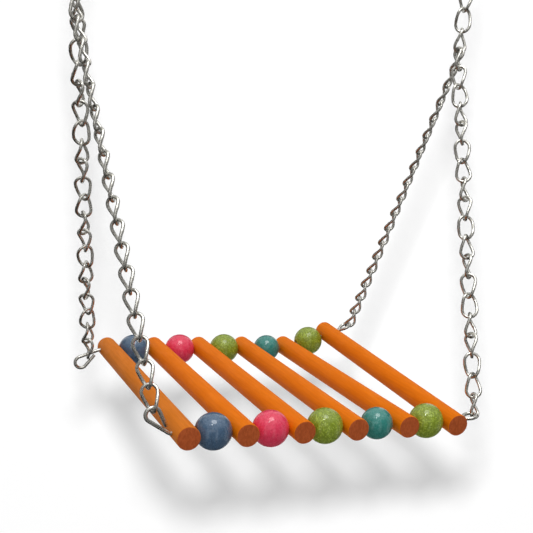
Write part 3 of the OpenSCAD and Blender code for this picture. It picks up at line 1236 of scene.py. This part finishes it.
@dataclass
class SpacerBeads:
    """The ten lacquered beads, five on each wire, each on a body of its own."""

    plan: SwingPlan
    finishes: Finishes
    sides: int = 96
    ball_steps: int = 60
    rim_radius: float = 0.25
    rim_steps: int = 5
    rim_reach: int = 6
    lip_share: float = 0.18
    lip_break: float = 0.3
    grain_turn: float = 0.9
    order: tuple[Slot, ...] = (Slot.BLUE, Slot.PINK, Slot.GREEN, Slot.TEAL, Slot.GREEN)

    def blank(self, diameter: float) -> Mesh:
        """Builds a bored ball along X with flat ends and softened rims.

        Args:
            diameter: Diameter of the ball.

        Returns:
            The points and the faces.
        """
        plan, radius, reach = self.plan, diameter / 2, self.rim_reach
        length = plan.dowel_spacing - plan.dowel_diameter - 2 * plan.bead_end_play
        half = min(length / 2, radius * math.cos(math.radians(plan.bead_flat_deg)))
        bore = plan.wire_radius + plan.bead_bore_clearance
        flat = math.acos(half / radius)
        angles = np.linspace(flat, math.pi - flat, self.ball_steps + 1)
        ball = [vec(-radius * math.cos(a), radius * math.sin(a)) for a in angles]
        rim = round_corners([vec(-half, bore), ball[0], ball[reach]], self.rim_radius, self.rim_steps)
        lip = bore * self.lip_share
        small = lip * self.lip_break
        inlet = [vec(-half + lip, bore), vec(-half + small, bore + small), vec(-half, bore + lip)]
        left = inlet + rim[1:-1]
        right = [vec(-p[0], p[1]) for p in reversed(left)]
        return turned(left + ball[reach:-reach] + right, self.sides, closed=True)

    def build(self) -> None:
        """Builds and dresses all the beads."""
        plan = self.plan
        slope = math.atan(plan.rear_right_lift / plan.dowel_spacing)
        for row in Row:
            for number, slot in enumerate(self.order, 1):
                small = slot is Slot.TEAL
                points, faces = self.blank(plan.small_bead_diameter if small else plan.bead_diameter)
                lifted = row is Row.REAR and number == len(self.order)
                spin = Matrix.Rotation(self.grain_turn * number + row.value, 3, "X")
                turn = np.array(Matrix.Rotation(-slope if lifted else 0.0, 3, "Y") @ spin)
                x = (plan.dowel_x(number) + plan.dowel_x(number + 1)) / 2
                z = plan.platform_z + (plan.rear_right_lift / 2 if lifted else 0.0)
                shell = Shell()
                shell.add(points @ turn.T + vec(x, row.value * plan.wire_row, z), faces)
                node = f"bead_{row.name.lower()}_{number}"
                self.finishes.dress(shell.piece(f"lacquered_{node}"), slot, node, node)


# Studio and camera


@dataclass(frozen=True)
class ShopCamera:
    """Camera of the photograph, in metres in the frame."""

    place: Triple = (-0.17287176, -0.41742513, -0.08734272)
    turn: tuple[float, float, float, float] = (0.76575055, 0.60731979, -0.16600747, -0.13126419)
    lens: float = 64.73554
    sensor_width: float = 36.0
    shift: tuple[float, float] = (-0.0628518, 0.1003752)
    nearest: float = 0.01
    farthest: float = 20.0

    def build(self) -> bpy.types.Object:
        """Makes the scene's camera.

        Returns:
            The camera.
        """
        data = bpy.data.cameras.new("shop_camera")
        data.sensor_width, data.lens = self.sensor_width, self.lens
        data.shift_x, data.shift_y = self.shift
        data.clip_start, data.clip_end = self.nearest, self.farthest
        camera = new_object("shop_camera", data)
        camera.matrix_world = Matrix.Translation(self.place) @ Quaternion(self.turn).to_matrix().to_4x4()
        bpy.context.scene.camera = camera
        return camera


def disk_lamp(name: str, size: float, watts: float) -> bpy.types.Object:
    """Makes a round soft lamp.

    Args:
        name: Name of the lamp.
        size: Its diameter in metres.
        watts: Its power.

    Returns:
        The lamp, not yet in its place.
    """
    data = bpy.data.lights.new(name, "AREA")
    data.shape, data.size, data.energy = "DISK", size, watts
    return new_object(name, data)


@dataclass(frozen=True)
class Lamp:
    """One soft lamp, placed by the way it comes from."""

    name: str
    from_way: Triple
    distance: float
    size: float
    watts: float

    def build(self, target: Vector) -> None:
        """Makes the lamp.

        Args:
            target: The point that it faces.
        """
        made = disk_lamp(self.name, self.size, self.watts)
        way = Vector(self.from_way).normalized()
        made.location = target + way * self.distance
        made.rotation_mode = "QUATERNION"
        made.rotation_quaternion = way.to_track_quat("Z", "Y")


@dataclass
class Studio:
    """White surroundings, soft lamps, and a far backdrop that takes the swing's shadow."""

    camera: bpy.types.Object
    target: Vector = field(default_factory=lambda: Vector((0.0, 0.0, -0.12)))
    ambient: float = 0.42
    backdrop_depth: float = 1.7
    backdrop_size: float = 4.5
    backdrop_glow: float = 0.12
    outer_glow: float = 0.3
    outer_glow_from: float = 1.2
    outer_glow_to: float = 1.5
    paper_white: float = 0.8
    shadow_lamp_up: float = 0.037
    shadow_lamp_size: float = 0.0215
    shadow_level: float = 0.45
    card_reach: float = 1.25
    card_low: float = -0.95
    card_high: float = 0.75
    card_strips: tuple[tuple[int, int], ...] = (
        (18, 44),
        (75, 40),
        (132, 46),
        (190, 44),
        (245, 36),
        (300, 46),
        (338, 10),
    )
    floor_card_size: float = 2.3
    lamps: tuple[Lamp, ...] = (
        Lamp("overhead_lamp", (-0.1, -0.3, 1.0), 1.0, 0.55, 5.6),
        Lamp("highlight_lamp", (-0.55, -0.75, 1.15), 1.1, 0.12, 1.3),
        Lamp("front_lamp", (-0.5, -1.0, 0.25), 1.2, 0.7, 1.6),
    )

    def build(self) -> None:
        """Makes the world, the lamps, the cards and the backdrop."""
        bpy.context.scene.view_settings.view_transform = "Standard"
        self._world()
        for lamp in self.lamps:
            lamp.build(self.target)
        self._cards()
        self._shadow_lamp(self._backdrop())

    def _world(self) -> None:
        """Makes a white world that lights the swing at a lower level than it shows."""
        world = bpy.data.worlds.new("studio_white")
        recipe = Recipe.of_new(world)
        path = recipe.node("ShaderNodeLightPath")
        seen = recipe.maths("MAXIMUM", path.outputs["Is Camera Ray"], path.outputs["Is Glossy Ray"])
        seen = recipe.maths("MAXIMUM", seen, path.outputs["Is Transmission Ray"])
        level = recipe.ranged(seen, self.ambient, 1.0)
        light = recipe.node("ShaderNodeBackground", {"Color": (1, 1, 1, 1), "Strength": level})
        recipe.node("ShaderNodeOutputWorld", {0: light.outputs[0]})
        bpy.context.scene.world = world

    @staticmethod
    def _stage_piece(name: str, corners: list[Vector], material: bpy.types.Material) -> bpy.types.Object:
        """Makes a flat four-cornered stage piece.

        Args:
            name: Name of the piece.
            corners: Its corners, in metres.
            material: Its material.

        Returns:
            The piece.
        """
        mesh = bpy.data.meshes.new(name)
        mesh.from_pydata([tuple(c) for c in corners], [], [(0, 1, 2, 3)])
        mesh.materials.append(material)
        made = new_object(name, mesh)
        return made

    @staticmethod
    def _square(middle: Vector, size: float, z: float) -> list[Vector]:
        """Returns the corners of a level square, at a height over its middle."""
        half = size / 2
        return [middle + Vector((x * half, y * half, z)) for x, y in ((-1, -1), (1, -1), (1, 1), (-1, 1))]

    def _cards(self) -> None:
        """Stands dark cards round the swing, which only its gloss and metal see."""
        material = bpy.data.materials.new("dark_card")
        recipe = Recipe.of_new(material)
        cloth = recipe.node("ShaderNodeTexNoise", {"Scale": 60.0, "Detail": 3.0})
        shade = recipe.mixed(cloth.outputs[0], rgba((0.035, 0.033, 0.03)), rgba((0.06, 0.056, 0.05)))
        shader = recipe.node("ShaderNodeBsdfDiffuse", {"Color": shade})
        recipe.node("ShaderNodeOutputMaterial", {0: shader.outputs[0]})
        shapes = {"dark_floor_card": self._square(self.target, self.floor_card_size, self.card_low)}
        for number, (middle, width) in enumerate(self.card_strips):
            ways = [math.radians(middle + w) for w in (-width / 2, width / 2)]
            low = [self._card_corner(w, self.card_low) for w in ways]
            high = [self._card_corner(w, self.card_high) for w in reversed(ways)]
            shapes[f"dark_card_{number}"] = low + high
        for name, corners in shapes.items():
            card = self._stage_piece(name, corners, material)
            card.visible_camera = False
            card.visible_diffuse = False
            card.visible_shadow = False
            card.visible_transmission = False

    def _card_corner(self, way: float, height: float) -> Vector:
        """Returns a point of the ring of cards, at a turn and a height."""
        reach = self.card_reach
        return self.target + Vector((math.cos(way) * reach, math.sin(way) * reach, height))

    def _backdrop(self) -> bpy.types.Object:
        """Makes the white backdrop, far behind the swing and square to the camera.

        Its own faint glow grows outwards by what the shadow lamp loses there, so it looks evenly white.

        Returns:
            The backdrop.
        """
        material = bpy.data.materials.new("backdrop_white")
        recipe = Recipe.of_new(material)
        where = recipe.node("ShaderNodeTexCoord").outputs["Object"]
        place = recipe.scaled(where, (1.0 / self.backdrop_depth,) * 3)
        squared = recipe.node("ShaderNodeVectorMath", {0: place, 1: place}, operation="DOT_PRODUCT")
        slant = squared.outputs["Value"]
        lit = recipe.maths("DIVIDE", 1.0, recipe.maths("MULTIPLY", slant, slant, clamp=False))
        inner = recipe.ranged(lit, self.backdrop_glow + self.shadow_level, self.backdrop_glow)
        outer = recipe.between(slant, self.outer_glow_from, self.outer_glow_to, self.outer_glow)
        glow = recipe.maths("ADD", inner, outer, clamp=False)
        paper = recipe.node("ShaderNodeBsdfDiffuse", {"Color": rgba((self.paper_white,) * 3)})
        light = recipe.node("ShaderNodeEmission", {"Color": (1, 1, 1, 1), "Strength": glow})
        both = recipe.node("ShaderNodeAddShader", {0: paper.outputs[0], 1: light.outputs[0]})
        recipe.node("ShaderNodeOutputMaterial", {0: both.outputs[0]})
        corners = self._square(Vector(), self.backdrop_size, -self.backdrop_depth)
        made = self._stage_piece("backdrop", corners, material)
        made.matrix_world = self.camera.matrix_world
        return made

    def _shadow_lamp(self, backdrop: bpy.types.Object) -> None:
        """Lights the backdrop alone from just above the camera, for a soft shadow below the swing.

        Args:
            backdrop: The backdrop, which alone takes this light.
        """
        watts = self.shadow_level * math.pi**2 * self.backdrop_depth**2 / self.paper_white
        made = disk_lamp("shadow_lamp", self.shadow_lamp_size, watts)
        made.matrix_world = self.camera.matrix_world @ Matrix.Translation((0.0, self.shadow_lamp_up, 0.0))
        takers = bpy.data.collections.new("lit_by_shadow_lamp")
        takers.objects.link(backdrop)
        made.light_linking.receiver_collection = takers


# The scene


def main() -> None:
    """Builds the whole scene over the frame."""
    logging.basicConfig(level=logging.INFO, format="%(name)s: %(message)s")
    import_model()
    plan = SwingPlan()
    camera = ShopCamera().build()
    finishes = Finishes.build()
    for part in (
        TwistedChains(plan, finishes),
        BentWires(plan, finishes),
        PerchDowels(plan, finishes),
        SpacerBeads(plan, finishes),
    ):
        part.build()
    Studio(camera).build()


if __name__ == "__main__":
    main()
